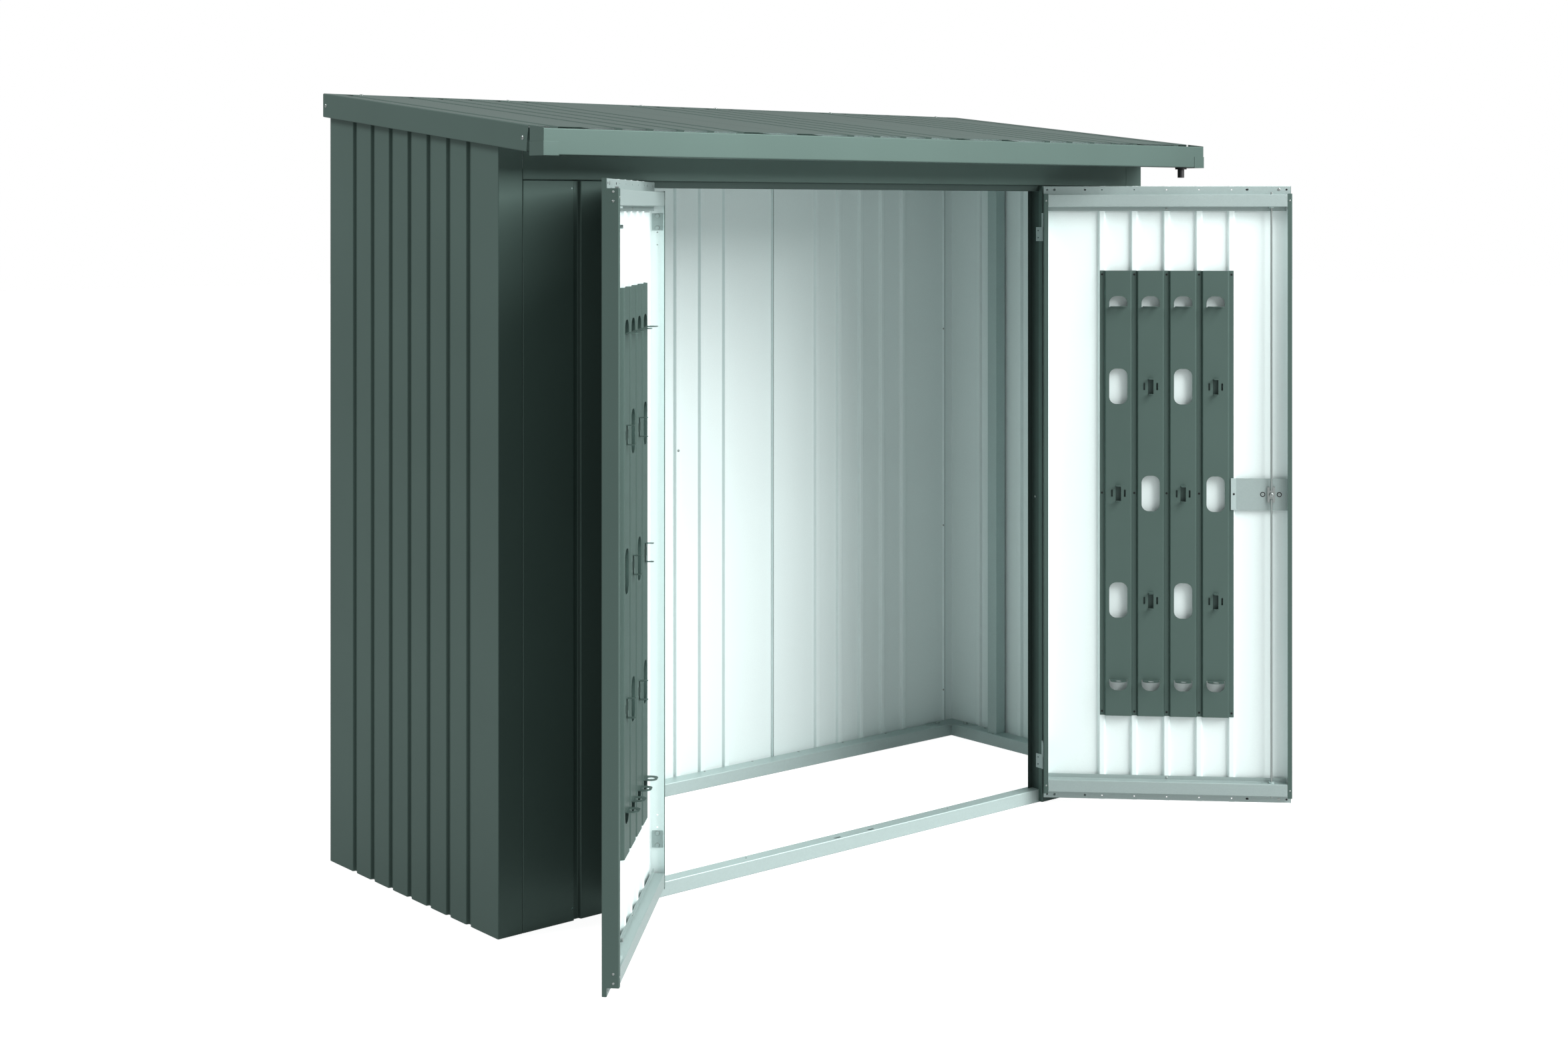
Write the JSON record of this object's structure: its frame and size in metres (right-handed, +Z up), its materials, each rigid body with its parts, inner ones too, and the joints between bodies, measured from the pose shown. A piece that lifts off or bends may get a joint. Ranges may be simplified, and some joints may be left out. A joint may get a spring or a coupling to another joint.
{
  "type": "log store",
  "caption": "Steel lean-to log store with ribbed walls, a sloping roof with a gutter, and two hinged front doors with tool boards.",
  "frame": {"origin": "on the ground, in the middle of the rear lip under the back base rail", "axes": "+X to the right as seen from the front, +Y towards the house wall behind it (the doors face -Y), +Z up"},
  "size_m": [2.3864, 1.3241, 1.9913],
  "materials": {
    "green_paint": "satin metallic powder coat",
    "dark_paint": "satin powder coat",
    "black_paint": "matt",
    "zinc_steel": "galvanised, fine spangle",
    "fasteners": "zinc plated",
    "black_plastic": "fine grain"
  },
  "bodies": {
    "shell": {"base_rail_front": "zinc_steel", "base_rail_back": "zinc_steel", "base_rails_side": "zinc_steel", "base_gussets": "black_paint", "base_bolts": "fasteners", "side_wall_left": "green_paint", "side_wall_right": "green_paint", "back_panel_left": "green_paint", "back_panel_mid": "green_paint", "back_panel_right": "green_paint", "front_panel_left": "green_paint", "front_panel_right": "green_paint", "header": "green_paint", "lintel": "dark_paint", "jambs": "dark_paint", "door_stops": "dark_paint", "side_posts": "zinc_steel", "roof_rail_back": "zinc_steel", "roof_rails_side": "zinc_steel", "purlin": "zinc_steel", "roof_panel_left": "green_paint", "roof_panel_mid": "green_paint", "roof_panel_right": "green_paint", "roof_trim_back": "green_paint", "roof_trims_side": "green_paint", "gutter": "green_paint", "gutter_end_caps": "green_paint", "gutter_clips": "green_paint", "gutter_outlet": "black_plastic", "sheet_screws": "fasteners", "frame_hinges_left": "zinc_steel", "frame_hinges_right": "zinc_steel"},
    "left_door": {"left_door_skin": "green_paint", "left_door_edges": "green_paint", "left_door_channels": "zinc_steel", "left_tool_board": "green_paint", "left_tool_rings": "green_paint", "left_hook_tabs": "green_paint", "left_door_hinges": "zinc_steel", "left_hinge_plates": "fasteners", "left_door_screws": "fasteners", "left_bolt_guides": "zinc_steel"},
    "right_door": {"right_door_skin": "green_paint", "right_door_edges": "green_paint", "right_door_channels": "zinc_steel", "right_tool_board": "green_paint", "right_tool_rings": "green_paint", "right_hook_tabs": "green_paint", "right_door_hinges": "zinc_steel", "right_hinge_plates": "fasteners", "right_door_screws": "fasteners", "right_lock_plate": "zinc_steel", "right_rod_guides": "zinc_steel", "right_escutcheon": "black_plastic"},
    "lock": {"lock_handle": "black_plastic", "lock_cam": "fasteners"},
    "upper_bolt": {"upper_rod": "fasteners"},
    "lower_bolt": {"lower_rod": "fasteners"},
    "left_upper_bolt": {"left_top_bolt": "fasteners"},
    "left_lower_bolt": {"left_bottom_bolt": "fasteners"}
  },
  "joints": [
    {"name": "left_hinge", "type": "hinge", "parent": "shell", "child": "left_door", "pos_m": [-0.6965, -0.7887, 0.8885], "axis": [0, 0, -1], "range_deg": [-135, 35]},
    {"name": "right_hinge", "type": "hinge", "parent": "shell", "child": "right_door", "pos_m": [0.6965, -0.7887, 0.8885], "axis": [0, 0, 1], "range_deg": [-135, 35]},
    {"name": "handle_turn", "type": "hinge", "parent": "right_door", "child": "lock", "pos_m": [1.14481, -1.24195, 0.8885], "axis": [0.7071, 0.7071, 0], "range_deg": [-0.5, 91]},
    {"name": "upper_rod_slide", "type": "slide", "parent": "right_door", "child": "upper_bolt", "axis": [0, 0, 1], "range_m": [0, 0.018]},
    {"name": "lower_rod_slide", "type": "slide", "parent": "right_door", "child": "lower_bolt", "axis": [0, 0, -1], "range_m": [-0.0001, 0.0182]},
    {"name": "left_top_slide", "type": "slide", "parent": "left_door", "child": "left_upper_bolt", "axis": [0, 0, 1], "range_m": [0, 0.018]},
    {"name": "left_bottom_slide", "type": "slide", "parent": "left_door", "child": "left_lower_bolt", "axis": [0, 0, -1], "range_m": [0, 0.018]}
  ],
  "couplings": [
    {"joint": "handle_turn", "follows": "upper_rod_slide", "rad_per_m": 87.266},
    {"joint": "lower_rod_slide", "follows": "upper_rod_slide", "ratio": 1}
  ]
}
